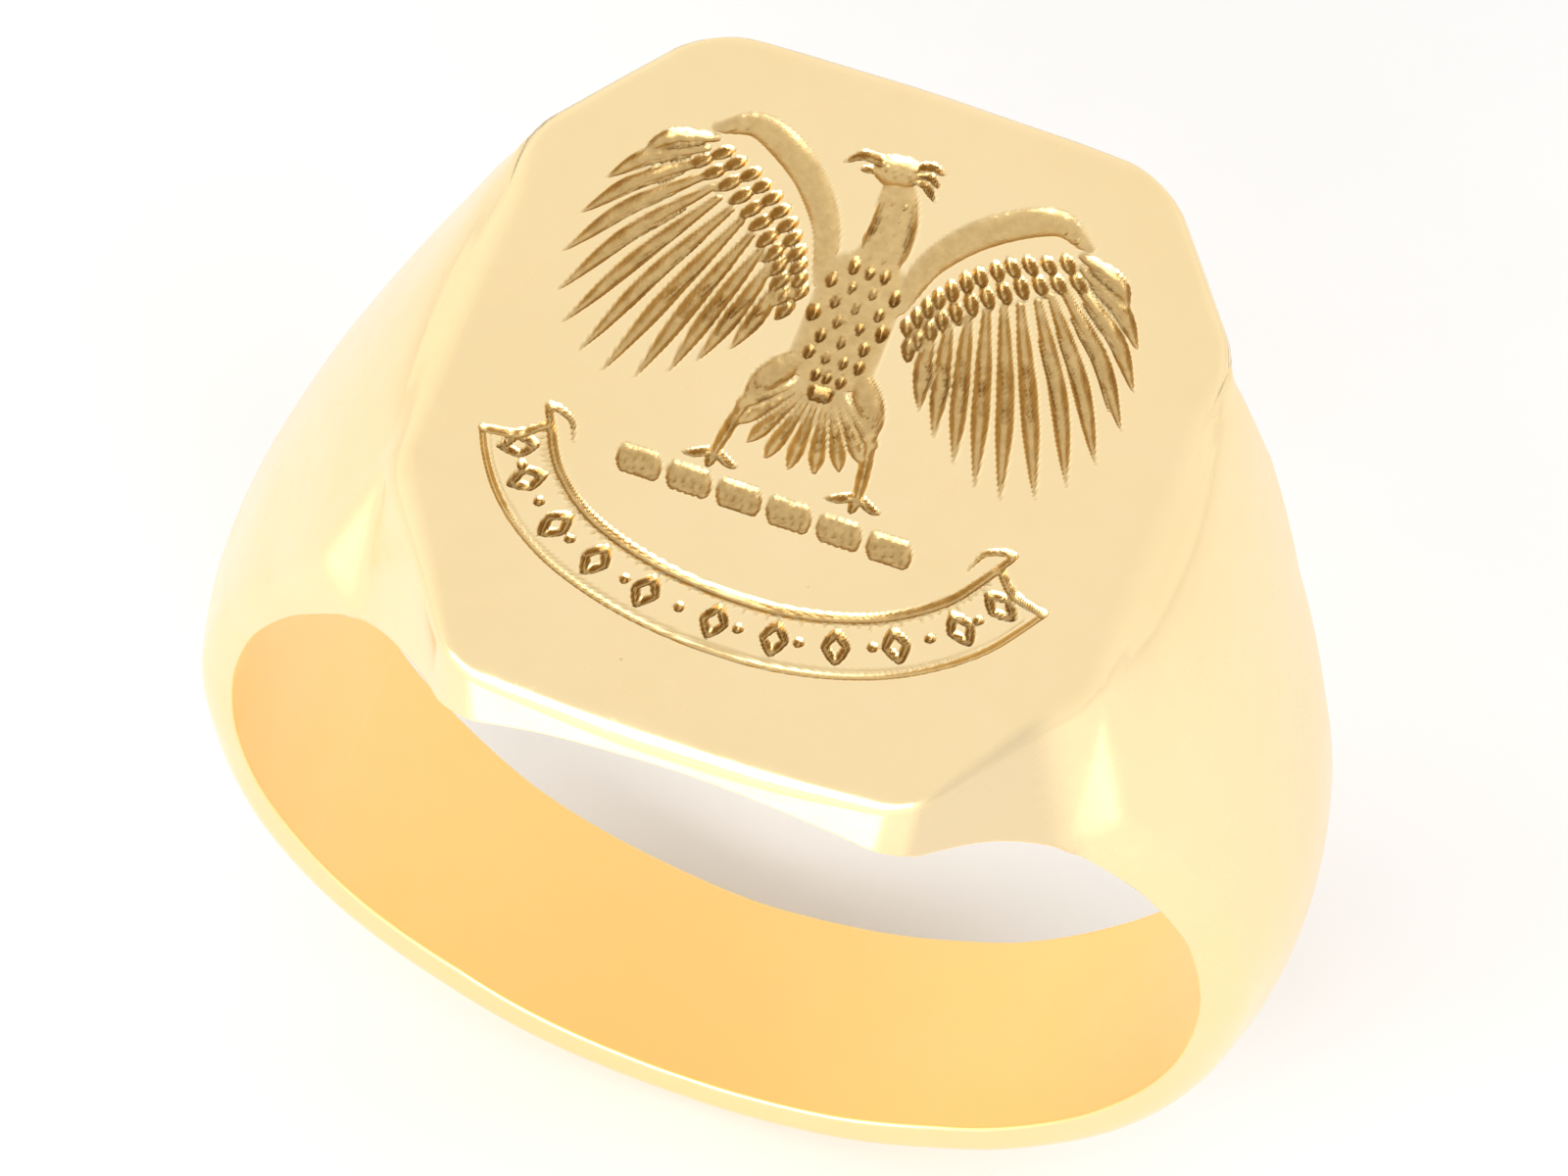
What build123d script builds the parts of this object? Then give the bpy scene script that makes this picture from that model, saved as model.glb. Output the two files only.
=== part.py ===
from build123d import *
import os
from math import atan2, cos, degrees, hypot, radians, sin, tan

# Signet ring. The bore (finger) axis is Y, the seal face looks up along +Z, and the
# origin is the centre of the bore. All lengths are in millimetres.

# ---- driving dimensions -------------------------------------------------------
BORE_R = 9.0  # 18 mm inside diameter

# octagonal seal face: a rectangle with its four corners cut off and its ends a little bowed
TABLE_HALF_X = 6.66
TABLE_HALF_Y = 7.29
CORNER_CUT_X = 2.38
CORNER_CUT_Y = 3.34
TABLE_END_BOW = 0.13  # how far the front and back edges bow out at their middles
TABLE_Z = BORE_R + 0.72
TRIM_ALLOWANCE = 1.0  # raw metal above the seal face, taken off when the face is cut flat

# the same octagon at the foot of the head block, where its cut corners have flared
BASE_DEPTH = 4.3  # below the seal face
BASE_HALF_X = 6.95
BASE_HALF_Y = 7.21
BASE_CUT_X = 2.76
BASE_CUT_Y = 2.60
BASE_END_BOW = 0.34
FRONT_RIDGE_R = 1.2
SIDE_RIDGE_R = 0.4

# band: a D-shaped section with leaning sides and a crowned outside
BACK_THICKNESS = 1.16
SIDE_THICKNESS = 1.12
INSIDE_MARGIN = 0.8  # how far the raw sections reach inside the bore before it is cut
# at angles from the back of the ring, in degrees: half-width at the bore, half-width
# where the side turns into the crown, and the share of the thickness the side takes up
BAND = {
    0: (2.02, 2.03, 0.58),
    15: (2.04, 2.05, 0.58),
    30: (2.12, 2.11, 0.59),
    45: (2.27, 2.21, 0.59),
    60: (2.46, 2.34, 0.58),
    75: (2.70, 2.42, 0.58),
    90: (2.93, 2.60, 0.60),
    105: (3.26, 2.88, 0.57),
    120: (3.88, 3.48, 0.52),
    133: (4.66, 4.23, 0.60),
}
# the same three at the sides of the seal face
BAND_AT_TABLE = (5.10, 3.88, 0.92)

# the shoulder's profile leaves the side edge of the seal face and meets the band
SHOULDER_DIP = 46.0  # degrees below level where it leaves the seal face
SHOULDER_START_REACH = 2.0  # handle lengths of the profile's Bezier curve
SHOULDER_END_REACH = 2.7
SHOULDER_MEETS_BAND = 86.0  # degrees from the back of the ring

# solder joints, in degrees from the back of the ring
SHANK_JOINT = 55.0
HEAD_JOINT = 127.0
SOLDER_THICKNESS = 0.10

PROFILE_HALVINGS = 40  # how finely the shoulder's profile is searched


def band_thickness(angle):
    """Radial thickness of the plain band at an angle from the back, in degrees."""
    share = sin(radians(min(angle, 90.0))) ** 2
    return BACK_THICKNESS + (SIDE_THICKNESS - BACK_THICKNESS) * share


def shoulder_profile():
    """The shoulder's curve in the XZ plane, from the seal face down to the band."""
    end = radians(SHOULDER_MEETS_BAND)
    end_radius = BORE_R + band_thickness(SHOULDER_MEETS_BAND)
    dip = radians(SHOULDER_DIP)
    start_point = Vector(TABLE_HALF_X, 0, TABLE_Z)
    end_point = Vector(end_radius * sin(end), 0, -end_radius * cos(end))
    start_handle = start_point + SHOULDER_START_REACH * Vector(cos(dip), 0, -sin(dip))
    end_handle = end_point + SHOULDER_END_REACH * Vector(cos(end), 0, sin(end))
    return Edge.make_bezier(start_point, start_handle, end_handle, end_point)


def profile_radius(profile, angle):
    """Distance from the bore axis to the shoulder's profile at an angle from the back."""
    low, high = 0.0, 1.0
    for _ in range(PROFILE_HALVINGS):
        middle = (low + high) / 2
        point = profile.position_at(middle)
        if degrees(atan2(point.X, -point.Z)) > angle:
            low = middle
        else:
            high = middle
    point = profile.position_at(low)
    return hypot(point.X, point.Z)


def band_section(angle, thickness, bore_half, crown_half, side_share):
    """A D-shaped face in the plane that holds the bore axis, at an angle from the back."""
    turn = radians(angle)
    outward = Vector(sin(turn), 0, -cos(turn))
    across = Vector(0, 1, 0)
    plane = Plane(origin=(0, 0, 0), x_dir=across, z_dir=across.cross(outward))
    side = side_share * thickness
    lean = (bore_half - crown_half) / side
    foot = (bore_half + lean * INSIDE_MARGIN, BORE_R - INSIDE_MARGIN)
    top = (0, BORE_R + thickness)
    with BuildSketch(plane) as sketch:
        with BuildLine():
            crown = ThreePointArc((crown_half, BORE_R + side), top, (-crown_half, BORE_R + side))
            Polyline(crown @ 1, (-foot[0], foot[1]), foot, crown @ 0)
        make_face()
    return sketch.sketch.faces()[0]


def band():
    """The shank and both shoulders as one swept band, up to the sides of the seal face."""
    profile = shoulder_profile()
    stations = []
    for angle, widths in BAND.items():
        if angle < SHOULDER_MEETS_BAND:
            thickness = band_thickness(angle)
        else:
            thickness = profile_radius(profile, angle) - BORE_R
        stations.append((angle, thickness, *widths))
    # two more sections, at the side of the seal face and past it on the profile's own slope
    for past in (0, TRIM_ALLOWANCE):
        x = TABLE_HALF_X - past
        z = TABLE_Z + past * tan(radians(SHOULDER_DIP))
        stations.append((180 - degrees(atan2(x, z)), hypot(x, z) - BORE_R, *BAND_AT_TABLE))
    right = [band_section(*station) for station in stations]
    left = [band_section(-angle, *rest) for angle, *rest in stations[:0:-1]]
    return loft(left + right)


def head_octagon(z, half_x, half_y, cut_x, cut_y, end_bow):
    """A level octagonal face with bowed front and back edges."""
    x, y = half_x - cut_x, half_y - cut_y
    bowed_y = half_y + end_bow
    with BuildSketch(Plane.XY.offset(z)) as sketch:
        with BuildLine():
            ThreePointArc((-x, half_y), (0, bowed_y), (x, half_y))
            Polyline((x, half_y), (half_x, y), (half_x, -y), (x, -half_y))
            ThreePointArc((x, -half_y), (0, -bowed_y), (-x, -half_y))
            Polyline((-x, -half_y), (-half_x, -y), (-half_x, y), (-x, half_y))
        make_face()
    return sketch.sketch.faces()[0]


def head_block():
    """The octagonal head, whose cut corners flare a little going down."""
    table = head_octagon(
        TABLE_Z, TABLE_HALF_X, TABLE_HALF_Y, CORNER_CUT_X, CORNER_CUT_Y, TABLE_END_BOW
    )
    base = head_octagon(
        TABLE_Z - BASE_DEPTH, BASE_HALF_X, BASE_HALF_Y, BASE_CUT_X, BASE_CUT_Y, BASE_END_BOW
    )
    block = loft([base, table], ruled=True)
    middle = TABLE_HALF_X - CORNER_CUT_X / 2
    for radius, near_middle in ((FRONT_RIDGE_R, True), (SIDE_RIDGE_R, False)):
        ridges = block.edges().filter_by(lambda edge: abs(edge.tangent_at(0.5).Z) > 0.5)
        chosen = [edge for edge in ridges if (abs(edge.center().X) < middle) == near_middle]
        block = fillet(chosen, radius)
    return block


def ring_blank():
    """The whole ring before it is parted at its solder joints."""
    ring = band() + head_block()
    ring -= Pos(0, 0, TABLE_Z + BORE_R / 2) * Box(4 * BORE_R, 4 * BORE_R, BORE_R)
    ring -= Rot(X=90) * Cylinder(BORE_R, 4 * TABLE_HALF_Y)
    return ring


def joint_slab(angle):
    """A thin slab of the joint plane at an angle from the back, on one side of the bore."""
    slab = Pos(0, 0, -BORE_R) * Box(SOLDER_THICKNESS, 4 * TABLE_HALF_Y, BORE_R)
    return Rot(Y=-angle) * slab


def write(node, shape):
    """Save one piece of the ring under its node's name."""
    export_step(shape, f"parts/{node}.step")


blank = ring_blank()
slabs = {
    "shank_seam_right": joint_slab(SHANK_JOINT),
    "shank_seam_left": joint_slab(-SHANK_JOINT),
    "head_seam_right": joint_slab(HEAD_JOINT),
    "head_seam_left": joint_slab(-HEAD_JOINT),
}
os.makedirs("parts", exist_ok=True)
metal = blank
for name, slab in slabs.items():
    write(name, blank & slab)
    metal -= slab
pieces = metal.solids()
write("back_shank", pieces.sort_by(Axis.Z)[0])
write("signet_head", pieces.sort_by(Axis.Z)[-1])
write("left_shoulder", pieces.sort_by(Axis.X)[0])
write("right_shoulder", pieces.sort_by(Axis.X)[-1])
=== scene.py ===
import math

import bpy
import numpy as np
from mathutils import Matrix, Vector


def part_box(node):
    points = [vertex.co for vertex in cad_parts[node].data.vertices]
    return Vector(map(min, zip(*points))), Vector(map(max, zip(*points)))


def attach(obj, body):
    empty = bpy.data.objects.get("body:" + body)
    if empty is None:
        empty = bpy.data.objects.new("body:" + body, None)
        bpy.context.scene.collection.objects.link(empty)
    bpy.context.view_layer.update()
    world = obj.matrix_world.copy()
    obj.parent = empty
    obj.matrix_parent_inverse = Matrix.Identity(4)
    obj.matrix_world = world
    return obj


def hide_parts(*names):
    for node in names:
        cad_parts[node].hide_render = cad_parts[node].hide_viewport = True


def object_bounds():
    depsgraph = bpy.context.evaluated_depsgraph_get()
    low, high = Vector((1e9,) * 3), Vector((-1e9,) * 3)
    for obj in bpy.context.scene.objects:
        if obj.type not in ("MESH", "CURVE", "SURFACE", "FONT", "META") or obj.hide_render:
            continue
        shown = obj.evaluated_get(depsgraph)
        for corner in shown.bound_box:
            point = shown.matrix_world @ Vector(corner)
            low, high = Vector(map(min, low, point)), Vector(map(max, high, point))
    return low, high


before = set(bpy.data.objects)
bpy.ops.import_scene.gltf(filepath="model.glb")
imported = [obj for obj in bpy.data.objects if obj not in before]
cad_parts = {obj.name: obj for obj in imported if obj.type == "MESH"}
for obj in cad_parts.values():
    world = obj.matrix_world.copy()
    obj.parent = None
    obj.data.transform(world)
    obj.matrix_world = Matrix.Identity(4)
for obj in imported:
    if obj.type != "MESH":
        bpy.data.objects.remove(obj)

# A signet ring. Shapes are worked out in millimetres and made in metres. The bore axis is Y
# and the seal face looks up. "turn" is the angle about the bore axis, in degrees, from the
# middle of the seal face (0) past the right side (90) to the back of the ring (180).

MM = 0.001
CAD_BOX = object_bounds()
rng = np.random.default_rng(7)

# ---- driving sizes -------------------------------------------------------------
BORE_R = 9.0
TABLE_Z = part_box("signet_head")[1].z / MM
SIDE_EDGE = 6.66  # where the shoulders' slope would reach the seal face
# the octagonal head's half-width, its half-length, and how much of each is cut off at the
# corners: at the seal face and at the base of the head, for its front half and its back half
BASE_DEPTH = 4.3
HALVES_MEET_Y = (-2.0, 2.0)  # over which the front half's sizes pass into the back half's
FRONT_TABLE, FRONT_BASE = (6.66, 7.07, 2.36, 3.76), (6.95, 7.05, 3.00, 2.60)
BACK_TABLE, BACK_BASE = (6.66, 7.28, 2.38, 3.34), (6.95, 7.20, 2.76, 2.60)
FRONT_BOW, BACK_BOW = (0.22, 0.24), (0.13, 0.32)  # of the end walls, at both levels
FRONT_ROUND, BACK_ROUND, SIDE_ROUND = 0.26, 0.25, 0.70  # of the seal face's edges
MIDDLE_ROUND = 0.20  # added at the middle of the front edge
END_Y = 4.0  # how far from the middle the end edges' own rounding starts
SIDE_ROUND_Y = (-6.4, -1.6, 2.8, 4.2)  # where the side edges' rounding comes in and goes again
SIDE_ROUND_X = (3.0, 4.5)  # over which it comes in from the middle
FRONT_RIDGE_ROUND, BACK_RIDGE_ROUND = 0.50, 0.72  # between the end walls and the cut corners
FRONT_SIDE_ROUND, BACK_SIDE_ROUND = 0.32, 0.45  # between the cut corners and the sides
HEAD_BLEND = 0.10  # where the head block runs out into the shoulders
HEAD_RIM_ROUND, RIM_ROUND = 0.02, 0.07  # of the bore's two rims, under the head and elsewhere
RIM_TURNS = (38, 60)  # between which the one passes into the other
WANDER = 0.012  # hand-filed faces are uneven by about this much

SHOULDER_DIP = 46.0
SHOULDER_REACH = (2.0, 2.7)
SHOULDER_MEETS_BAND = 94.0  # turn
BAND_THICKNESS = 1.12
# turn: half-width at the bore, half-width at the crown's edge, the side's share of the
# thickness, and how softly the side turns into the crown
BAND = {
    180: (2.02, 2.08, 0.58, 0.24),
    150: (2.12, 2.17, 0.60, 0.24),
    120: (2.46, 2.41, 0.58, 0.27),
    105: (2.70, 2.44, 0.58, 0.30),
    90: (2.93, 2.62, 0.60, 0.30),
    75: (3.26, 2.90, 0.57, 0.30),
    60: (3.88, 3.50, 0.52, 0.28),
    47: (4.52, 4.17, 0.60, 0.22),
    34: (4.62, 3.90, 0.92, 0.20),
    0: (4.62, 3.90, 0.92, 0.20),
}
FRONT_TAPER = 0.65  # how much narrower the crown's front half is beside the seal face
FRONT_TAPER_TURNS = (34, 47)  # between which this passes away
JOINTS = {"head_seam": 53.0, "shank_seam": 125.0}
SEAM_HALF = 0.30  # half the width of a solder line, as a turn

# the front right cut corner is painted darker as shade and made rougher: how far past its own face
# this goes, how softly it ends at the ridges and at the side, and where it fades out
FACET_SHADE_REACH_Y, FACET_SHADE_REACH = (-6.9, -4.4), (0.12, 0.50)
FACET_SHADE_SOFT, FACET_SHADE_SIDE_SOFT = 0.08, 0.06
FACET_SHADE_FADE_Y = (-4.7, -4.2)

# ---- camera --------------------------------------------------------------------
CAMERA_RIGHT = Vector((0.9442, 0.3212, 0.0727))
CAMERA_BACK = Vector((0.1165, -0.5323, 0.8385))
AIM_RIGHT, AIM_UP = 0.290 * MM, 2.326 * MM
FRAME_WIDTH = 27.63 * MM
CAMERA_DISTANCE = 0.85


# ---- the ring's shape ----------------------------------------------------------
def rounded(a, b, r):
    """The larger of two distances, with the edge between them rounded off."""
    return np.minimum(-r, np.maximum(a, b)) + np.hypot(np.maximum(a + r, 0), np.maximum(b + r, 0))


def blended(a, b, r):
    """The smaller of two distances, with the hollow between them filled a little."""
    return -rounded(-a, -b, r)


def folded(turn):
    """A turn as its distance from the middle of the seal face, from 0 to 180."""
    return np.abs((np.asarray(turn, float) + 180) % 360 - 180)


def band_values(turn):
    """The band's widths, side share and softness at a turn."""
    known = sorted(BAND)
    table = np.array([BAND[t] for t in known])
    return [np.interp(folded(turn), known, table[:, i]) for i in range(4)]


def shoulder_curve():
    """Turn and radius along the shoulder's profile, from the seal face to the band."""
    dip, end = math.radians(SHOULDER_DIP), math.radians(SHOULDER_MEETS_BAND)
    reach = BORE_R + BAND_THICKNESS
    p0 = np.array([SIDE_EDGE, TABLE_Z])
    p3 = reach * np.array([math.sin(end), math.cos(end)])
    p1 = p0 + SHOULDER_REACH[0] * np.array([math.cos(dip), -math.sin(dip)])
    p2 = p3 + SHOULDER_REACH[1] * np.array([-math.cos(end), math.sin(end)])
    t = np.linspace(0, 1, 400)[:, None]
    p = (1 - t) ** 3 * p0 + 3 * t * (1 - t) ** 2 * p1 + 3 * t**2 * (1 - t) * p2 + t**3 * p3
    return np.degrees(np.arctan2(p[:, 0], p[:, 1])), np.hypot(p[:, 0], p[:, 1])


CURVE_TURN, CURVE_RADIUS = shoulder_curve()


def outer_radius(turn):
    """Radius of the crown line of the band, carried on straight above the seal face."""
    a = folded(turn)
    dip = math.radians(SHOULDER_DIP)
    reach = SIDE_EDGE * math.sin(dip) + TABLE_Z * math.cos(dip)
    slope = np.sin(np.radians(a)) * math.sin(dip) + np.cos(np.radians(a)) * math.cos(dip)
    straight = reach / np.maximum(slope, 0.3)
    plain = np.interp(a, CURVE_TURN, CURVE_RADIUS, right=BORE_R + BAND_THICKNESS)
    return np.where(a < CURVE_TURN[0], straight, plain)


def front_taper(turn):
    """How much narrower the crown's front half is than its back half."""
    return np.interp(folded(turn), FRONT_TAPER_TURNS, (FRONT_TAPER, 0))


def band_distance(turn, y, r):
    """How far a point is outside the band's D-shaped section."""
    bore_half, crown_half, share, soft = band_values(turn)
    crown_half = crown_half - front_taper(turn) * (y < 0)
    thick = outer_radius(turn) - BORE_R
    side = share * thick
    lean = bore_half - crown_half
    y = np.abs(y)
    flank = ((y - bore_half) * side + (r - BORE_R) * lean) / np.hypot(side, lean)
    rise = thick - side
    crown_r = (crown_half**2 + rise**2) / (2 * rise)
    crown = np.hypot(y, r - (BORE_R + thick - crown_r)) - crown_r
    return rounded(flank, crown, soft)


def head_octagon(y, z):
    """The octagon's half-width, half-length and two cuts at the height of each point."""
    k = np.clip((TABLE_Z - z) / BASE_DEPTH, 0, 1.4)
    front, back = ([t + k * (b - t) for t, b in zip(*pair)] for pair in
                   ((FRONT_TABLE, FRONT_BASE), (BACK_TABLE, BACK_BASE)))
    share = np.interp(y, HALVES_MEET_Y, (0.0, 1.0))
    return [f + share * (b - f) for f, b in zip(front, back)], k


def head_distance(x, y, z):
    """How far a point is outside the octagonal head block."""
    (half_x, half_y, cut_x, cut_y), k = head_octagon(y, z)
    ridge = np.where(y > 0, BACK_RIDGE_ROUND, FRONT_RIDGE_ROUND)
    side_ridge = np.where(y > 0, BACK_SIDE_ROUND, FRONT_SIDE_ROUND)
    front_bow, back_bow = (b[0] + k * (b[1] - b[0]) for b in (FRONT_BOW, BACK_BOW))
    bow = np.where(y > 0, back_bow, front_bow)
    x, y = np.abs(x), np.abs(y)
    corner_x = half_x - cut_x
    wall = y - half_y - bow * (1 - np.minimum(x / corner_x, 1.2) ** 2)
    facet = ((x - corner_x) * cut_y + (y - half_y) * cut_x) / np.hypot(cut_x, cut_y)
    block = rounded(rounded(wall, facet, ridge), x - half_x, side_ridge)
    return np.maximum(block, TABLE_Z - BASE_DEPTH - z)


def facet_shade_share(p):
    """How fully a point lies on the head's front right cut corner, from 0 to 1; there its colour gets
    painted shade and its finish is rougher.
    """
    (half_x, half_y, cut_x, cut_y), _ = head_octagon(p[:, 1], p[:, 2])
    x, y = np.abs(p[:, 0]), np.abs(p[:, 1])
    away = ((x - half_x + cut_x) * cut_y + (y - half_y) * cut_x) / np.hypot(cut_x, cut_y)
    below = TABLE_Z - p[:, 2]
    reach = np.interp(p[:, 1], FACET_SHADE_REACH_Y, FACET_SHADE_REACH)
    on_face = np.clip((away + reach) / FACET_SHADE_SOFT, 0, 1)
    on_face = on_face * np.clip((below - 0.01) / FACET_SHADE_SOFT, 0, 1)
    on_face = on_face * np.interp(p[:, 1], FACET_SHADE_FADE_Y, (1, 0))
    beside = np.clip((half_x - x) / FACET_SHADE_SIDE_SOFT, 0, 1)
    return on_face * beside * ((p[:, 0] > 0) & (p[:, 1] < 0))


def edge_round(x, y):
    """How softly the seal face's edge is rounded near a point; most at its two sides."""
    x = np.abs(x)
    side = np.interp(y, SIDE_ROUND_Y, (0, 1, 1, 0)) * np.interp(x, SIDE_ROUND_X, (0, 1))
    front_corner = FRONT_TABLE[0] - FRONT_TABLE[2]
    middle = np.maximum(1 - (x / front_corner) ** 2, 0) * MIDDLE_ROUND
    ends = np.interp(y, (-END_Y, END_Y), (FRONT_ROUND, BACK_ROUND)) + middle * (y < -END_Y)
    return ends + side * (SIDE_ROUND - ends)


def ring_distance(turn, y, r):
    """How far a point is outside the ring, in millimetres; negative inside."""
    a = np.radians(turn)
    x, z = r * np.sin(a), r * np.cos(a)
    body = blended(band_distance(turn, y, r), head_distance(x, y, z), HEAD_BLEND)
    wander = np.sin(0.9 * x + 1.7 * y) * np.sin(1.3 * z - 0.8 * y) + np.sin(2.1 * x - 0.6 * y + z)
    body = body + WANDER * (1 + 0.5 * wander)
    rim = np.interp(folded(turn), RIM_TURNS, (HEAD_RIM_ROUND, RIM_ROUND))
    return rounded(rounded(body, z - TABLE_Z, edge_round(x, y)), BORE_R - r, rim)


def table_half_length(x):
    """Half-length of the seal face at x."""
    half_x, half_y, cut_x, cut_y = FRONT_TABLE
    corner_x = half_x - cut_x
    x = np.abs(x)
    ends = half_y + FRONT_BOW[0] * (1 - (x / corner_x) ** 2)
    corners = half_y - (x - corner_x) * cut_y / cut_x
    return np.where(x < corner_x, ends, corners)


# ---- mesh building -------------------------------------------------------------
TABLE_TURN = math.degrees(math.atan2(SIDE_EDGE, TABLE_Z))
BISECTIONS = 26
SIDE_ROWS = 10
BORE_ROWS = 9
FAN_ANGLES = [10, 23, 35, 46, 57, 69, 81]
FAN_MARGIN = 0.05  # the rays round a soft edge start this much deeper than its rounding
START_LIFT = 0.06  # height above the bore where the rays to the top and to the bore start
RIM_START = 0.10  # depth below both faces of a rim where the rays round it start
RIM_SPREADS = (8, 23)  # degrees between those rays, under the head and elsewhere


def section_rays(turn, across):
    """Start points and directions, in (y, radius), of the rays that find one section's outline.

    across is where the rows over the top lie, from -1 at the front edge to 1 at the back.
    """
    _, crown_half, share, soft = (float(v) for v in band_values(turn))
    if abs(turn) < TABLE_TURN:
        x = TABLE_Z * math.tan(math.radians(abs(turn)))
        back_y = front_y = float(table_half_length(x))
        fan = float(edge_round(x, -front_y)) + FAN_MARGIN
        edge_r = TABLE_Z / math.cos(math.radians(turn))
    else:
        back_y, front_y = crown_half, crown_half - float(front_taper(turn))
        fan = soft + FAN_MARGIN
        edge_r = BORE_R + share * (float(outer_radius(turn)) - BORE_R)
    fan = min(fan, 0.8 * (edge_r - BORE_R))
    low, high = BORE_R + RIM_START, edge_r - fan
    back_rim, front_rim = (rim_half(turn, side) - RIM_START for side in (1, -1))
    spread = float(np.interp(abs(turn), RIM_TURNS, RIM_SPREADS))
    rim_angles = np.radians([45 - spread, 45, 45 + spread])
    rows = []
    for t in across:
        rows.append((t * ((back_y if t > 0 else front_y) - fan), BORE_R + START_LIFT, 0, 1))
    for a in np.radians(FAN_ANGLES):
        rows.append((back_y - fan, high, math.sin(a), math.cos(a)))
    for t in np.linspace(1, 0, SIDE_ROWS):
        rows.append((0, low + t * (high - low), 1, 0))
    for a in rim_angles:
        rows.append((back_rim, low, math.cos(a), -math.sin(a)))
    for y in np.linspace(back_rim, -front_rim, BORE_ROWS):
        rows.append((y, BORE_R + START_LIFT, 0, -1))
    for a in rim_angles[::-1]:
        rows.append((-front_rim, low, -math.cos(a), -math.sin(a)))
    for t in np.linspace(0, 1, SIDE_ROWS):
        rows.append((0, low + t * (high - low), -1, 0))
    for a in np.radians(FAN_ANGLES[::-1]):
        rows.append((-(front_y - fan), high, -math.sin(a), math.cos(a)))
    return np.array(rows, float)


def rim_half(turn, side):
    """Half-width of the section just above the bore, on its back side (1) or front side (-1)."""
    low, high = 0.5, 9.0
    for _ in range(BISECTIONS):
        middle = (low + high) / 2
        if ring_distance(turn, side * middle, BORE_R + RIM_START) < 0:
            low = middle
        else:
            high = middle
    return low


def outline_grid(turns, across):
    """Points of the ring's skin: one closed loop of rows for each turn, as (turn, row, xyz)."""
    rays = np.array([section_rays(t, across) for t in turns])
    y0, r0, dy, dr = (rays[..., i] for i in range(4))
    turn = np.broadcast_to(np.asarray(turns)[:, None], y0.shape)
    low, high = np.zeros_like(y0), np.full_like(y0, 9.0)
    for _ in range(BISECTIONS):
        middle = (low + high) / 2
        inside = ring_distance(turn, y0 + dy * middle, r0 + dr * middle) < 0
        low = np.where(inside, middle, low)
        high = np.where(inside, high, middle)
    y, r = y0 + dy * low, r0 + dr * low
    a = np.radians(turn)
    return np.stack([r * np.sin(a), y, r * np.cos(a)], axis=-1)


def skin_normals(grid):
    """Smooth normals of a grid that has one spare turn at each end; the spares are dropped."""
    along = grid[2:] - grid[:-2]
    around = np.roll(grid, -1, axis=1)[1:-1] - np.roll(grid, 1, axis=1)[1:-1]
    n = np.cross(around, along)
    return n / np.maximum(np.linalg.norm(n, axis=-1, keepdims=True), 1e-12)


def end_centre(turn):
    """A point within the metal at an end of a piece, where its end face is fanned from."""
    r = (BORE_R + float(outer_radius(turn))) / 2
    if abs(turn) > 90:
        r = min(r, BORE_R + 0.5 * BAND_THICKNESS)
    return r * math.sin(math.radians(turn)), 0, r * math.cos(math.radians(turn))


def closed_mesh(name, grid, normals, ends):
    """A mesh of the skin between two flat ends, with smooth normals on the skin alone."""
    count, rows = grid.shape[:2]
    index = np.arange(count * rows).reshape(count, rows)
    a, b = index[:-1], index[1:]
    quads = np.stack([a, np.roll(a, -1, 1), np.roll(b, -1, 1), b], axis=-1).reshape(-1, 4)
    faces = [tuple(q) for q in quads.tolist()]
    for hub, loop in ((count * rows, index[0].tolist()), (count * rows + 1, index[-1][::-1].tolist())):
        for here, after in zip(loop, loop[1:] + loop[:1]):
            faces.append((hub, after, here))
    verts = np.vstack([grid.reshape(-1, 3), [end_centre(turn) for turn in ends]]) * MM
    mesh = bpy.data.meshes.new(name)
    mesh.from_pydata(verts.tolist(), [], faces)
    mesh.polygons.foreach_set("use_smooth", np.ones(len(faces), bool))
    # the skin takes its smooth normals, so it runs on across the joints without a step
    skin = len(quads)
    vertex = np.empty(len(mesh.loops), np.int32)
    mesh.loops.foreach_get("vertex_index", vertex)
    flat_normals = np.empty(len(mesh.polygons) * 3)
    mesh.polygons.foreach_get("normal", flat_normals)
    loops = np.empty((len(mesh.loops), 3))
    loops[: skin * 4] = normals.reshape(-1, 3)[vertex[: skin * 4]]
    loops[skin * 4 :] = np.repeat(flat_normals.reshape(-1, 3)[skin:], 3, axis=0)
    mesh.normals_split_custom_set(loops.tolist())
    return mesh


def make_piece(turns, across, cad_node, slot, relief=None):
    """One closed piece of the ring between its first and last turn."""
    name = f"{cad_node}_{slot}"
    spare = [2 * turns[0] - turns[1], *turns, 2 * turns[-1] - turns[-2]]
    grid = outline_grid(spare, across)
    cut_depth, dirt = np.zeros(grid.shape[:2]), np.zeros(grid.shape[:2])
    if relief is not None:
        flat = grid[..., 2] > TABLE_Z - 1e-4
        cut_depth[flat], dirt[flat] = relief(grid[flat][:, 0], grid[flat][:, 1])
        grid[..., 2] -= cut_depth
    normals = skin_normals(grid)
    grid, cut_depth, dirt = grid[1:-1], cut_depth[1:-1], dirt[1:-1]
    mesh = closed_mesh(name, grid, normals, (turns[0], turns[-1]))
    # where the front right cut corner gets painted shade in its colour and a rougher finish
    facet_shade_and_matt = facet_shade_share(grid.reshape(-1, 3))
    for key, values in (("cut_depth", cut_depth), ("dirt", dirt), ("facet_shade_and_matt", facet_shade_and_matt)):
        layer = mesh.attributes.new(key, "FLOAT", "POINT")
        with_ends = np.append(values.reshape(-1), [0.0, 0.0])
        layer.data.foreach_set("value", with_ends.astype(np.float32))
    mesh.validate()
    mesh.materials.append(METALS[slot])
    piece = bpy.data.objects.new(name, mesh)
    bpy.context.scene.collection.objects.link(piece)
    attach(piece, "root")
    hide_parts(cad_node)
    return piece


# ---- the engraving -------------------------------------------------------------
STROKES = []


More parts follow.
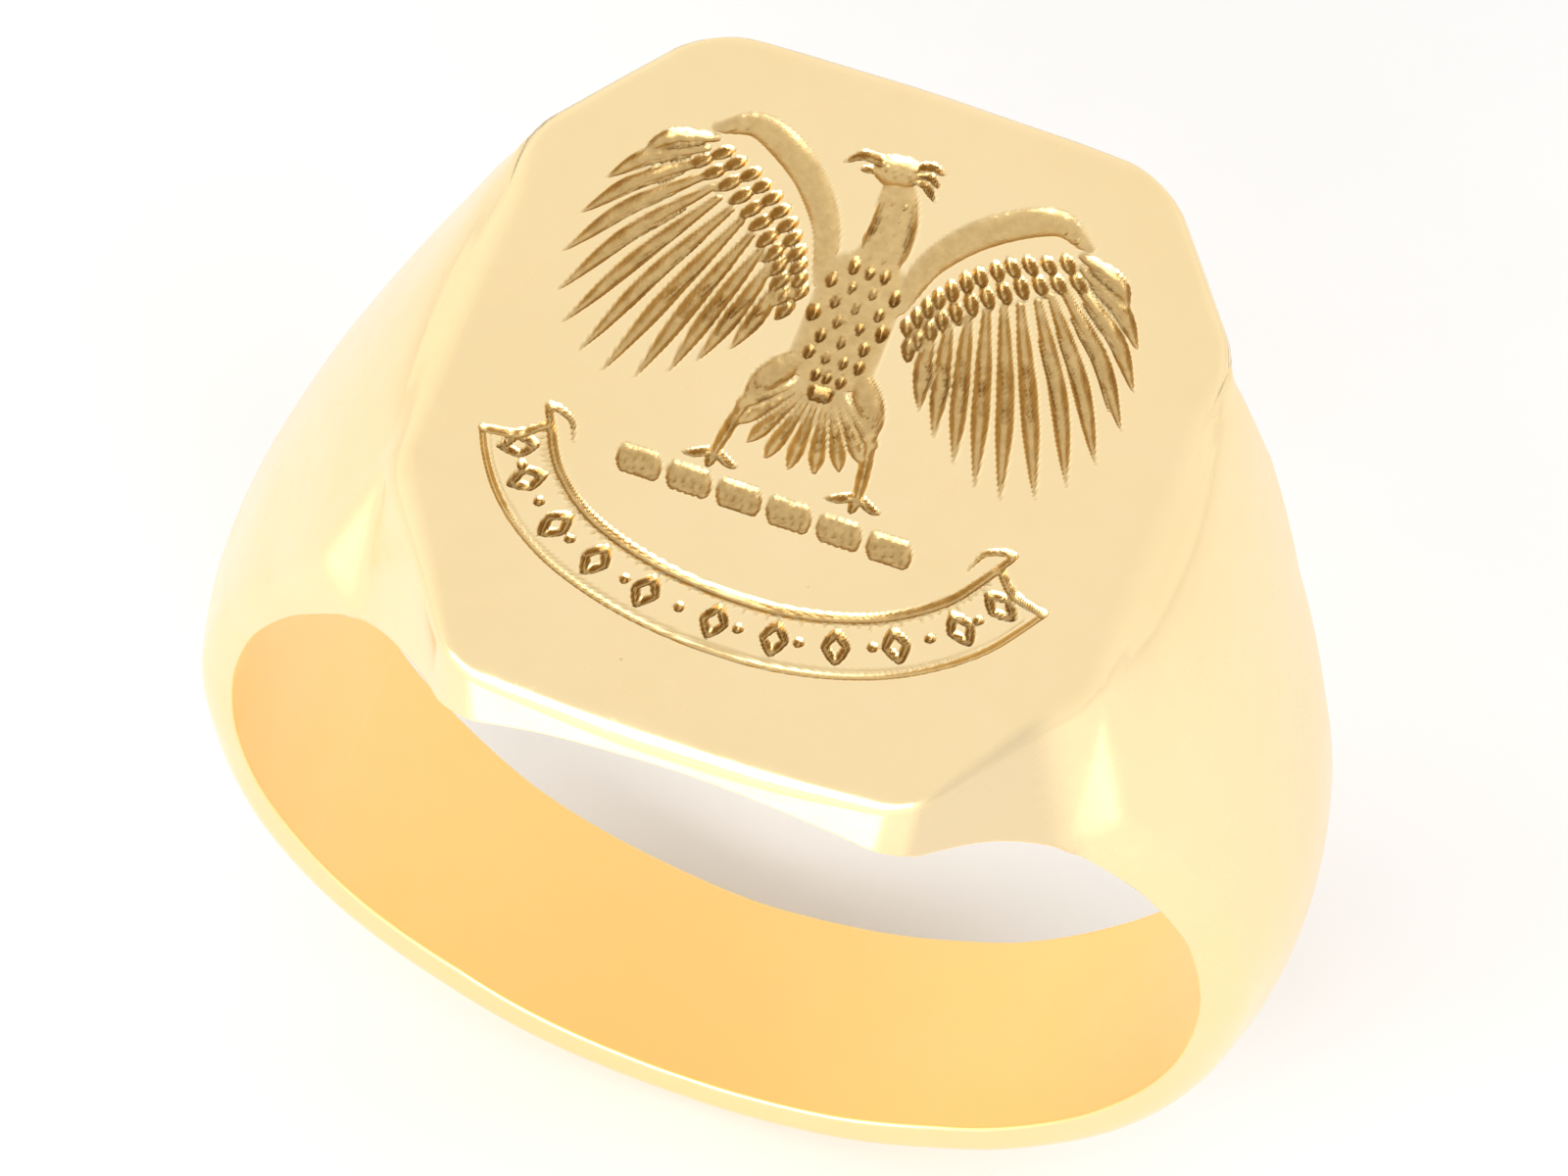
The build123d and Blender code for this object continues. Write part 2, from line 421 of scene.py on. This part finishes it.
def smooth_path(points, count):
    """count points along a smooth curve through a few."""
    p = np.array(points, float)
    if len(p) == 2:
        t = np.linspace(0, 1, count)[:, None]
        return p[0] * (1 - t) + p[1] * t
    ends = np.vstack([2 * p[0] - p[1], p, 2 * p[-1] - p[-2]])
    out = []
    for s in np.linspace(0, len(p) - 1 - 1e-9, count):
        i, t = int(s), s - int(s)
        a, b, c, d = ends[i : i + 4]
        square, cube = 2 * a - 5 * b + 4 * c - d, 3 * b - a - 3 * c + d
        out.append(0.5 * (2 * b + (c - a) * t + square * t**2 + cube * t**3))
    return np.array(out)


def cut(points, width, depth, start=0.0, end=0.0, swell=0.5, steep=1.0, dark=0.8, count=22):
    """One graver cut along a path. start and end are the width left at its two ends, as shares of
    the full width, which it has at swell. dark is how much grime it holds."""
    path = smooth_path(points, count)
    t = np.linspace(0, 1, count)
    up = start + (1 - start) * np.sin(np.clip(t / swell, 0, 1) * math.pi / 2)
    down = end + (1 - end) * np.sin(np.clip((1 - t) / (1 - swell), 0, 1) * math.pi / 2)
    share = np.minimum(up, down)
    chatter = 1 + 0.10 * np.sin(t * rng.uniform(18, 34) + rng.uniform(0, 6.3))
    STROKES.append((path, width / 2 * share + 0.012, depth * share**0.8 * chatter, steep, dark))


def scoop(centre, size, depth, lean=0.0, steep=0.8, dark=0.3):
    """A shallow oval hollow. lean turns its long axis from +X, in degrees."""
    a = math.radians(lean)
    half, wide = size[0] / 2, size[1]
    reach = max(half - wide / 2, 0.001)
    way = np.array([math.cos(a), math.sin(a)]) * reach
    c = np.array(centre, float)
    path = np.array([c - way, c, c + way])
    STROKES.append((path, np.full(3, wide / 2), np.full(3, depth), steep, dark))


def engraved_depth(x, y):
    """How deep the seal face is cut at each point, in millimetres, and how grimy the cut is."""
    depth, dirt = np.zeros_like(x), np.zeros_like(x)
    p = np.stack([x, y], axis=-1)
    for path, half, deep, steep, dark in STROKES:
        reach = half.max()
        near = np.all((p > path.min(0) - reach) & (p < path.max(0) + reach), axis=1)
        if not near.any():
            continue
        q = p[near][:, None, :]
        a, b = path[:-1][None], path[1:][None]
        along = np.sum((q - a) * (b - a), -1) / np.maximum(np.sum((b - a) ** 2, -1), 1e-9)
        t = np.clip(along, 0, 1)
        gap = np.linalg.norm(q - (a + t[..., None] * (b - a)), axis=-1)
        width = half[:-1] + t * np.diff(half)
        floor = deep[:-1] + t * np.diff(deep)
        u = np.clip(gap / width, 0, 1)
        here = (floor * (1 - u**2) ** steep).max(axis=1)
        old, tone = depth[near], dirt[near]
        tone = np.where(here > old, dark * np.clip(here / 0.04, 0, 1), tone)
        depth[near], dirt[near] = np.maximum(old, here), tone
    return depth, dirt


def mirror(points, side):
    """A path of the right wing, or its mirror image for the left one, a little uneven."""
    return [(side * x + rng.normal(0, 0.015), y + rng.normal(0, 0.015)) for x, y in points]


WING_EDGE = [(0.70, 2.85), (0.98, 3.95), (1.70, 4.92), (2.70, 5.52), (3.42, 5.22)]
FEATHER_ROOTS = [
    (3.40, 5.02), (3.46, 4.78), (3.42, 4.50), (3.30, 4.26), (3.14, 4.04), (2.94, 3.86),
    (2.70, 3.70), (2.44, 3.54), (2.18, 3.34), (1.92, 3.10), (1.66, 2.82), (1.42, 2.50),
]
FEATHER_TIPS = [
    (4.50, 4.30), (4.92, 3.52), (5.12, 2.66), (5.14, 1.80), (4.98, 1.00), (4.64, 0.36),
    (4.20, -0.10), (3.68, -0.34), (3.14, -0.24), (2.64, 0.06), (2.18, 0.46), (1.76, 0.90),
]


def engrave_wing(side):
    """One spread wing: a smooth leading edge, two rows of coverts and a fan of long feathers."""
    cut(mirror(WING_EDGE, side), 0.62, 0.15, 0.55, 0.35, 0.6, 0.7, 0.60)
    for i, (root, tip) in enumerate(zip(FEATHER_ROOTS, FEATHER_TIPS)):
        r, t = np.array(root), np.array(tip)
        middle = (r + t) / 2 + np.array([0.16 - 0.02 * i, 0.10])
        cut(mirror([r, middle, t], side), 0.31, 0.17, 0.45, 0.08, 0.55, 0.8, 0.72)
        ahead = np.array([0.05, 0.03])
        shade = [r * 0.8 + t * 0.2 - ahead, (r + t) / 2 + ahead, r * 0.15 + t * 0.85]
        cut(mirror(shade, side), 0.13, 0.205, 0.3, 0.15, 0.35, 1.0, 1.0)
    coverts = smooth_path([(0.92, 2.75), (1.30, 3.65), (2.00, 4.45), (3.00, 4.95)], 12)
    for reach, length, wide in ((0.06, 0.46, 0.24), (0.46, 0.55, 0.25)):
        for i, along in enumerate(coverts):
            way = np.array([0.30 + 0.05 * i, -0.95 + 0.01 * i])
            way = way / np.linalg.norm(way)
            a = along + way * reach
            cut(mirror([a, a + way * length], side), wide, 0.19, 0.25, 0.0, 0.40, 1.0, 0.85)
    # short ticks across the smooth leading edge
    for along in smooth_path(WING_EDGE, 13)[2:-1]:
        way = np.array([0.06, -0.096])
        cut(mirror([along - way, along + way], side), 0.06, 0.165, 0.3, 0.1, dark=0.6, count=6)


def engrave_bird():
    """A plain heraldic bird shown from the front with its wings spread and its head turned."""
    scoop((0.0, 2.10), (2.9, 1.55), 0.18, 90, 0.6, 0.60)
    scoop((0.0, 2.90), (1.75, 1.62), 0.20, 90, 0.6, 0.56)
    cut([(0.0, 3.2), (0.12, 4.1), (0.04, 4.8), (-0.12, 5.30)], 0.84, 0.17, 0.9, 0.62, 0.3, 0.6, 0.58)
    cut([(-0.30, 3.75), (-0.22, 4.35), (-0.24, 4.95)], 0.10, 0.20, 0.2, 0.3, 0.5, 1.0, 0.9)
    cut([(0.42, 3.65), (0.40, 4.35), (0.26, 5.05)], 0.12, 0.21, 0.2, 0.3, 0.5, 1.0, 0.95)
    scoop((-0.20, 5.52), (0.86, 0.64), 0.21, 10, 0.6, 0.55)
    cut([(-0.48, 5.62), (-0.86, 5.62), (-1.14, 5.36)], 0.21, 0.19, 0.9, 0.1, 0.3, 1.0, 0.9)
    cut([(-0.50, 5.40), (-0.84, 5.34)], 0.11, 0.17, 0.7, 0.2)
    for k in (0, 1, 2):
        feather = [(0.04, 5.70 - 0.12 * k), (0.34, 5.82 - 0.20 * k), (0.60, 5.74 - 0.30 * k)]
        cut(feather, 0.14, 0.20, 0.7, 0.1, dark=0.9)
    for k in range(4):
        nick = [(-0.46 + 0.14 * k, 5.66), (-0.34 + 0.15 * k, 5.44)]
        cut(nick, 0.07, 0.235, 0.3, 0.2, dark=0.95, count=8)
    # breast feathers, in staggered rows over the scooped body
    for row in range(8):
        y = 3.62 - 0.39 * row
        half = 0.66 * math.sin(math.pi * min((row + 2.2) / 9.6, 1)) + 0.05
        for i in range(-2, 3):
            x = (i + 0.5 * (row % 2)) * half * 0.56 + rng.normal(0, 0.02)
            if abs(x) < half * 1.1:
                cut([(x, y), (x * 1.12, y - 0.44)], 0.23, 0.27, 0.1, 0.0, 0.45, 0.9, 1.0)
    for row in range(5):
        y = 5.02 - 0.30 * row
        for x in (-0.08, 0.14):
            cut([(x, y), (x + 0.01, y - 0.22)], 0.09, 0.205, 0.3, 0.0, 0.4, dark=0.7)
    engrave_wing(1)
    engrave_wing(-1)
    # tail: a short fan below the body
    for i in range(-4, 5):
        a = math.radians(11.5 * i)
        length = 1.78 - 0.035 * i * i
        way = np.array([math.sin(a), -math.cos(a)]) * length
        root = np.array([0.10 * i, 0.74])
        cut([root, root + way * 0.55, root + way], 0.27, 0.17, 0.35, 0.25, 0.75, 0.8, 0.60)
        cut([root + way * 0.25, root + way * 0.9], 0.09, 0.20, 0.4, 0.2, dark=1.0)
    # legs and feet, standing on the twisted bar
    for side in (-1, 1):
        thigh = [(side * 0.58, 1.25), (side * 0.96, 0.55), (side * 1.12, 0.02)]
        cut(thigh, 0.54, 0.19, 0.6, 0.32, 0.35, 0.7, 0.72)
        for k in range(3):
            top, low = (0.70 + 0.15 * k, 0.98 - 0.1 * k), (0.90 + 0.12 * k, 0.42 - 0.1 * k)
            cut([(side * x, y) for x, y in (top, low)], 0.10, 0.225, 0.2, 0.0, dark=0.85)
        shin = [(side * 1.12, 0.15), (side * 1.24, -0.55), (side * 1.32, -1.20)]
        cut(shin, 0.21, 0.17, 0.9, 0.7, dark=0.6)
        cut([(side * 1.18, -0.10), (side * 1.32, -0.95)], 0.08, 0.20, 0.3, 0.2, dark=1.0)
        for across, down in ((-0.52, -0.24), (-0.02, -0.38), (0.48, -0.22)):
            x, y = side * 1.32, -1.16
            toe = [(x, y), (x + across * 0.6, y - 0.06 + down * 0.5), (x + across, y + down)]
            cut(toe, 0.17, 0.16, 0.8, 0.15, 0.3, dark=0.85)


def engrave_bar():
    """The twisted bar under the bird: six rounded lengths of cord with slanting ends."""
    start, end = np.array([-2.95, -1.86]), np.array([2.65, -2.04])
    for i in range(6):
        c = start + (end - start) * (i + 0.5) / 6
        deep = 0.13 + rng.uniform(-0.015, 0.02)
        for k in (-2, -1, 0, 1, 2):
            x, y = c + np.array([0.13 * k, 0.0])
            cut([(x - 0.05, y + 0.19), (x + 0.05, y - 0.19)], 0.30, deep, 0.7, 0.7, 0.5, 0.6, 0.78, 8)
        for k in range(4):
            x, y = c + np.array([0.16 * k - 0.24, 0.0])
            thread = [(x - 0.06, y + 0.20), (x + 0.06, y - 0.22)]
            cut(thread, 0.07, deep + 0.03, 0.4, 0.2, dark=1.0, count=8)


RIBBON = [
    (-4.72, -1.95), (-4.25, -2.85), (-3.30, -3.72), (-1.90, -4.28), (-0.30, -4.52),
    (1.30, -4.42), (2.80, -3.92), (3.95, -3.02), (4.62, -1.98),
]
RIBBON_HALF = 0.60
RIBBON_STEPS = 60
RIBBON_MARKS = 21
LOZENGE = (0.20, 0.33)  # half-size along and across the ribbon


def engrave_ribbon():
    """A hanging ribbon with rolled ends, decorated with plain open lozenges and dots."""
    path = smooth_path(RIBBON, RIBBON_STEPS)
    way = np.gradient(path, axis=0)
    way /= np.linalg.norm(way, axis=1, keepdims=True)
    out = np.stack([-way[:, 1], way[:, 0]], axis=-1)
    for side, width, depth, dark in ((-1, 0.13, 0.11, 0.5), (1, 0.19, 0.15, 0.7)):
        edge = path + side * RIBBON_HALF * out
        cut(edge[::4].tolist() + [edge[-1].tolist()], width, depth, 0.8, 0.8, dark=dark, count=60)
        fine = path + side * (RIBBON_HALF - 0.13) * out
        cut(fine[1:-1:4].tolist(), 0.06, 0.045, 0.5, 0.5, dark=0.4, count=60)
    for end in (0, -1):
        front, inner = path[end] - RIBBON_HALF * out[end], path[end] + RIBBON_HALF * out[end]
        tail = -way[end] if end == 0 else way[end]
        cut([front, (front + inner) / 2 - 0.16 * tail, inner], 0.16, 0.15, 0.8, 0.8, dark=0.7)
        across = 1 if end == 0 else -1
        curl = [
            inner, inner + 0.26 * tail + [0, 0.12],
            inner + [0.32 * across, 0.20], inner + [0.50 * across, -0.24],
        ]
        cut(curl, 0.13, 0.13, 0.8, 0.2, 0.3, dark=0.7)
    along, across = LOZENGE
    for i in range(RIBBON_MARKS):
        s = int(round(3 + (RIBBON_STEPS - 7) * i / (RIBBON_MARKS - 1)))
        c, w, o = path[s], way[s] * along, out[s] * across
        if i % 2 == 0:
            corners = [c + w, c + o, c - w, c - o, c + w]
            for a, b in zip(corners, corners[1:]):
                cut([a, b], 0.15, 0.15, 0.7, 0.7, dark=1.0, count=8)
        else:
            scoop(c, (0.20, 0.20), 0.14, dark=0.95)
    for s in range(1, RIBBON_STEPS - 2):
        c, o = path[s], out[s]
        a, b = c + o * rng.uniform(0.32, 0.44), c + o * rng.uniform(0.48, 0.56)
        cut([a, b], 0.07, 0.05, 0.5, 0.2, dark=0.4, count=5)


engrave_bird()
engrave_bar()
engrave_ribbon()


# ---- materials -----------------------------------------------------------------
def node(tree, kind, inputs=(), **settings):
    """A new shader node with some of its inputs set or linked."""
    n = tree.nodes.new("ShaderNode" + kind)
    for key, value in settings.items():
        setattr(n, key, value)
    for key, value in dict(inputs).items():
        if isinstance(value, bpy.types.NodeSocket):
            tree.links.new(value, n.inputs[key])
        else:
            n.inputs[key].default_value = value
    return n


def math_node(tree, operation, a, b=0.0, c=0.0):
    """The result of one Math node."""
    return node(tree, "Math", {0: a, 1: b, 2: c}, operation=operation).outputs[0]


def ramp(tree, value, low, high, to_low=0.0, to_high=1.0):
    """A value carried from one range to another and kept within it."""
    return node(tree, "MapRange", {0: value, 1: low, 2: high, 3: to_low, 4: to_high}).outputs[0]


def noise(tree, place, scale, detail=3.0, rough=0.5):
    """A grey noise value over the metal, with its scale per millimetre."""
    inputs = {"Vector": place, "Scale": scale / MM, "Detail": detail, "Roughness": rough}
    return node(tree, "TexNoise", inputs).outputs["Fac"]


def mixed(tree, share, first, second):
    """A colour between two others."""
    return node(tree, "Mix", {0: share, 6: first, 7: second}, data_type="RGBA").outputs[2]


def attribute(tree, name):
    """A value stored on the mesh."""
    return node(tree, "Attribute", attribute_name=name).outputs["Fac"]


def scratches(tree, place, angle, spacing, share):
    """Sparse thin straight scratches running at one angle on the seal face and walls."""
    turned = node(
        tree, "VectorRotate", {"Vector": place, "Angle": math.radians(angle)}, rotation_type="Z_AXIS"
    ).outputs[0]
    warp = node(tree, "TexNoise", {"Vector": turned, "Scale": 0.35 / MM, "Detail": 1.0})
    bent = node(
        tree, "VectorMath", {0: warp.outputs["Color"], 1: (0.0004,) * 3, 2: turned},
        operation="MULTIPLY_ADD",
    )
    squeezed = node(tree, "VectorMath", {0: bent.outputs[0], 1: (0.055, 1, 1)}, operation="MULTIPLY")
    cell = node(
        tree, "TexVoronoi", {"Vector": squeezed.outputs[0], "Scale": 1 / (spacing * MM)},
        feature="DISTANCE_TO_EDGE",
    )
    line = ramp(tree, cell.outputs["Distance"], 0.0, 0.018, 1.0, 0.0)
    some = ramp(tree, noise(tree, place, 0.5, 2.0), 1 - share, 1 - share + 0.04)
    return math_node(tree, "MULTIPLY", line, some)


def wear(tree, place, height):
    """Three families of hairline scratches on the upper part of the ring, and a scatter of pits."""
    lines = scratches(tree, place, 18, 1.1, 0.52)
    for angle, spacing, share in ((-47, 1.7, 0.55), (79, 1.4, 0.50)):
        lines = math_node(tree, "ADD", lines, scratches(tree, place, angle, spacing, share))
    lines = math_node(tree, "MULTIPLY", lines, ramp(tree, height, -0.003, 0.004))
    cells = node(tree, "TexVoronoi", {"Vector": place, "Scale": 0.75 / MM})
    chance = node(tree, "SeparateColor", {0: cells.outputs["Color"]}).outputs[0]
    dot = ramp(tree, cells.outputs["Distance"], 0.03, 0.055, 1.0, 0.0)
    return lines, math_node(tree, "MULTIPLY", dot, ramp(tree, chance, 0.80, 0.82))


def alloy(tree, place, tint):
    """The metal's own colour, with slow drifts in its tone."""
    drift = math_node(tree, "MULTIPLY", noise(tree, place, 0.16, 3.0), 0.65)
    cloud = math_node(tree, "MULTIPLY", noise(tree, place, 1.6, 4.0, 0.6), 0.35)
    tone = math_node(tree, "ADD", drift, cloud)
    paler = tuple(min(1.0, c * k) for c, k in zip(tint[:3], (1.0, 1.012, 1.03))) + (1,)
    warmer = tuple(c * k for c, k in zip(tint[:3], (0.985, 0.97, 0.93))) + (1,)
    return mixed(tree, ramp(tree, tone, 0.35, 0.65), paler, warmer)


GRIME = (0.36, 0.21, 0.065, 1)
# painted shade: the darker gold the front right cut corner is painted with
FACET_SHADE_GOLD = (0.765, 0.612, 0.366, 1)


def metal(name, tint, painted_reflection_tint, roughness):
    """Old polished gold: rubbed smooth, faintly scratched and pitted, dull in the engraving, with painted
    shade in the cuts and on the front right cut corner, and a painted reflection tint in the bore.
    """
    material = bpy.data.materials.new(name)
    material.use_nodes = True
    tree = material.node_tree
    shader = tree.nodes["Principled BSDF"]
    shader.inputs["Metallic"].default_value = 1.0
    place = node(tree, "TexCoord").outputs["Object"]
    across, along, height = node(tree, "SeparateXYZ", {0: place}).outputs[:3]
    flat_place = node(tree, "CombineXYZ", {0: across, 1: height}).outputs[0]
    radius = node(tree, "VectorMath", {0: flat_place}, operation="LENGTH").outputs["Value"]
    in_bore = ramp(tree, radius, (BORE_R + 0.005) * MM, (BORE_R + 0.05) * MM, 1.0, 0.0)
    recess = ramp(tree, attribute(tree, "cut_depth"), 0.0, 0.10)
    # the front right cut corner: painted shade in its colour, and a rougher finish
    facet_shade_and_matt = attribute(tree, "facet_shade_and_matt")
    lines, pit = wear(tree, place, height)

    # colour: painted shade in the engraving, warmer and darker the deeper the cut, and darker where grime
    # sits in it and in the pits
    hollow = math_node(tree, "MULTIPLY", recess, 0.55)
    colour = mixed(tree, hollow, alloy(tree, place, tint), painted_reflection_tint)
    patches = ramp(tree, noise(tree, place, 5.0, 4.0, 0.6), 0.32, 0.68, 0.68, 1.0)
    colour = mixed(tree, math_node(tree, "MULTIPLY", attribute(tree, "dirt"), patches), colour, GRIME)
    colour = mixed(tree, math_node(tree, "MULTIPLY", pit, 0.75), colour, GRIME)
    # painted shade: the front right cut corner is painted a darker gold
    colour = mixed(tree, math_node(tree, "MULTIPLY", facet_shade_and_matt, 0.95), colour, FACET_SHADE_GOLD)
    # painted reflection: the bore is painted a deeper gold, as of gold mirrored in gold, most of all low
    # in the shank
    bore_reflection_share = ramp(tree, height, -0.0068, -0.003, 0.92, 0.45)
    colour = mixed(tree, math_node(tree, "MULTIPLY", in_bore, bore_reflection_share), colour, painted_reflection_tint)
    tree.links.new(colour, shader.inputs["Base Color"])

    # roughness: smudges of handling, scratches, a matt engraving, a satin bore, the rougher front right
    # cut corner
    smudge = noise(tree, place, 0.7, 5.0, 0.62)
    rough = ramp(tree, smudge, 0.25, 0.75, roughness * 0.8, roughness * 1.35)
    for share, more in ((lines, 0.05), (recess, 0.10), (in_bore, 0.28), (facet_shade_and_matt, 0.12)):
        rough = math_node(tree, "ADD", rough, math_node(tree, "MULTIPLY", share, more))
    tree.links.new(rough, shader.inputs["Roughness"])

    # relief, in millimetres: grain, scratches, pits, polishing lines that run round the bore, and
    # the graver's chatter in the cuts
    turn = math_node(tree, "ARCTAN2", across, height)
    rolled = node(tree, "CombineXYZ", {0: math_node(tree, "MULTIPLY", turn, 0.0012), 1: along}).outputs[0]
    brushed = math_node(tree, "MULTIPLY", noise(tree, rolled, 3.2, 5.0, 0.7), in_bore)
    chatter = math_node(tree, "MULTIPLY", noise(tree, place, 16.0, 3.0, 0.6), recess)
    relief = math_node(tree, "MULTIPLY", noise(tree, place, 14.0, 4.0, 0.6), 0.00045)
    for share, rise in ((lines, -0.0005), (pit, -0.004), (brushed, 0.0025), (chatter, 0.009)):
        relief = math_node(tree, "ADD", relief, math_node(tree, "MULTIPLY", share, rise))
    bump = node(tree, "Bump", {"Height": relief, "Strength": 1.0, "Distance": MM})
    tree.links.new(bump.outputs[0], shader.inputs["Normal"])
    return material


# each metal's third colour is the painted reflection tint of the bore, also used for painted shade in the
# cuts
METALS = {
    "gold": metal("gold", (1.0, 0.790, 0.450, 1), (1.0, 0.700, 0.262, 1), 0.20),
    "solder": metal("solder", (1.0, 0.795, 0.462, 1), (1.0, 0.706, 0.270, 1), 0.21),
}

# ---- pieces --------------------------------------------------------------------
STEP = 0.047  # mesh spacing over the engraving
ENGRAVED_X, ENGRAVED_FRONT, ENGRAVED_BACK = 5.40, -5.35, 6.35
PLAIN_X, PLAIN_STEP = 6.2, 0.10  # the flat face beside the engraving
EDGE_TURNS, EDGE_STEP = (32.6, 37.0), 0.40  # the seal face's side edges
SHOULDER_SECTIONS, SHANK_SECTIONS, SEAM_SECTIONS = 70, 90, 3

head_joint, shank_joint = JOINTS["head_seam"], JOINTS["shank_seam"]
near_x = np.concatenate([np.arange(0, ENGRAVED_X, STEP), np.arange(ENGRAVED_X, PLAIN_X, PLAIN_STEP)])
near = np.degrees(np.arctan2(near_x, TABLE_Z))
edge = np.arange(*EDGE_TURNS, EDGE_STEP)
far = np.linspace(37.6, head_joint - SEAM_HALF, 14)
half_turns = np.concatenate([near, edge, far])
head_turns = np.concatenate([-half_turns[:0:-1], half_turns])
reach = float(table_half_length(0) - edge_round(0, -table_half_length(0))) - FAN_MARGIN
rows_over_face = [
    np.linspace(-reach, ENGRAVED_FRONT, 14, endpoint=False),
    np.arange(ENGRAVED_FRONT, ENGRAVED_BACK, STEP),
    np.linspace(ENGRAVED_BACK, reach, 8),
]
head_across = np.concatenate(rows_over_face) / reach
band_across = np.linspace(-1, 1, 33)

make_piece(head_turns, head_across, "signet_head", "gold", engraved_depth)
for side, sign in (("right", 1), ("left", -1)):
    spans = [(f"{side}_shoulder", head_joint + SEAM_HALF, shank_joint - SEAM_HALF, SHOULDER_SECTIONS)]
    for seam, turn in JOINTS.items():
        spans.append((f"{seam}_{side}", turn - SEAM_HALF, turn + SEAM_HALF, SEAM_SECTIONS))
    for cad_node, start, end, count in spans:
        turns = np.linspace(start, end, count) if sign > 0 else np.linspace(-end, -start, count)
        slot = "gold" if cad_node.endswith("shoulder") else "solder"
        make_piece(list(turns), band_across, cad_node, slot)
shank_turns = np.linspace(shank_joint + SEAM_HALF, 360 - shank_joint - SEAM_HALF, SHANK_SECTIONS)
make_piece(list(shank_turns), band_across, "back_shank", "gold")

# ---- floor, light and camera ---------------------------------------------------
FLOOR_HALF = 3.0
PAPER_TONES = (0.74, 0.74, 0.74, 1), (0.78, 0.78, 0.78, 1)
HORIZON, ZENITH = (1.05, 1.04, 1.03, 1), (0.935, 0.925, 0.915, 1)

lowest, _ = CAD_BOX
floor_mesh = bpy.data.meshes.new("floor")
corners = [(-1, -1), (1, -1), (1, 1), (-1, 1)]
floor_verts = [(FLOOR_HALF * x, FLOOR_HALF * y, lowest.z) for x, y in corners]
floor_mesh.from_pydata(floor_verts, [], [(0, 1, 2, 3)])
paper = bpy.data.materials.new("paper")
paper.use_nodes = True
paper_shader = paper.node_tree.nodes["Principled BSDF"]
fibre = node(paper.node_tree, "TexNoise", {"Scale": 900.0, "Detail": 3.0}).outputs["Fac"]
paper.node_tree.links.new(mixed(paper.node_tree, fibre, *PAPER_TONES), paper_shader.inputs["Base Color"])
paper_shader.inputs["Roughness"].default_value = 0.9
paper_shader.inputs["Specular IOR Level"].default_value = 0.1
floor_mesh.materials.append(paper)
floor = bpy.data.objects.new("floor", floor_mesh)
bpy.context.scene.collection.objects.link(floor)

scene = bpy.context.scene
scene.view_settings.view_transform = "Standard"
world = bpy.data.worlds.new("studio")
world.use_nodes = True
sky = world.node_tree
sky_shader = sky.nodes["Background"]
direction = node(sky, "TexCoord").outputs["Generated"]
rightward, _, upward = node(sky, "SeparateXYZ", {0: direction}).outputs[:3]
sky.links.new(mixed(sky, ramp(sky, upward, 0.0, 0.85), HORIZON, ZENITH), sky_shader.inputs["Color"])
sky.links.new(ramp(sky, rightward, -0.3, -0.95, 1.0, 1.11), sky_shader.inputs["Strength"])
scene.world = world


def softbox(name, place, size, power, target=(0, 0, 0)):
    """A rectangular area light, aimed at a point."""
    lamp = bpy.data.lights.new(name, "AREA")
    lamp.shape = "RECTANGLE"
    lamp.size, lamp.size_y = size
    lamp.energy = power
    made = bpy.data.objects.new(name, lamp)
    made.location = place
    made.visible_camera = False
    made.rotation_mode = "QUATERNION"
    made.rotation_quaternion = (Vector(target) - Vector(place)).to_track_quat("-Z", "Y")
    scene.collection.objects.link(made)


# a broad light in front, a low strip that shines along the seal face's front edge, and a faint glow
# on the floor below the front wall
softbox("front_box", (-0.15, -0.90, 0.45), (2.2, 0.6), 12.5)
softbox("front_fill", (0.004, -0.105, 0.040), (0.20, 0.05), 0.085, (0, -0.010, 0.004))
softbox("wall_glow", (-0.0026, -0.0190, -0.0096), (0.020, 0.007), 0.0005, (-0.0026, -0.0189, 1))

right = CAMERA_RIGHT.normalized()
back = CAMERA_BACK.normalized()
up = back.cross(right).normalized()
right = up.cross(back)
camera_data = bpy.data.cameras.new("camera")
camera_data.sensor_width = 36.0
camera_data.lens = camera_data.sensor_width * CAMERA_DISTANCE / FRAME_WIDTH
camera_data.clip_start, camera_data.clip_end = 0.1, 20.0
camera = bpy.data.objects.new("camera", camera_data)
aim = right * AIM_RIGHT + up * AIM_UP
axes = Matrix((right, up, back)).transposed()
camera.matrix_world = Matrix.Translation(aim + back * CAMERA_DISTANCE) @ axes.to_4x4()
scene.collection.objects.link(camera)
scene.camera = camera
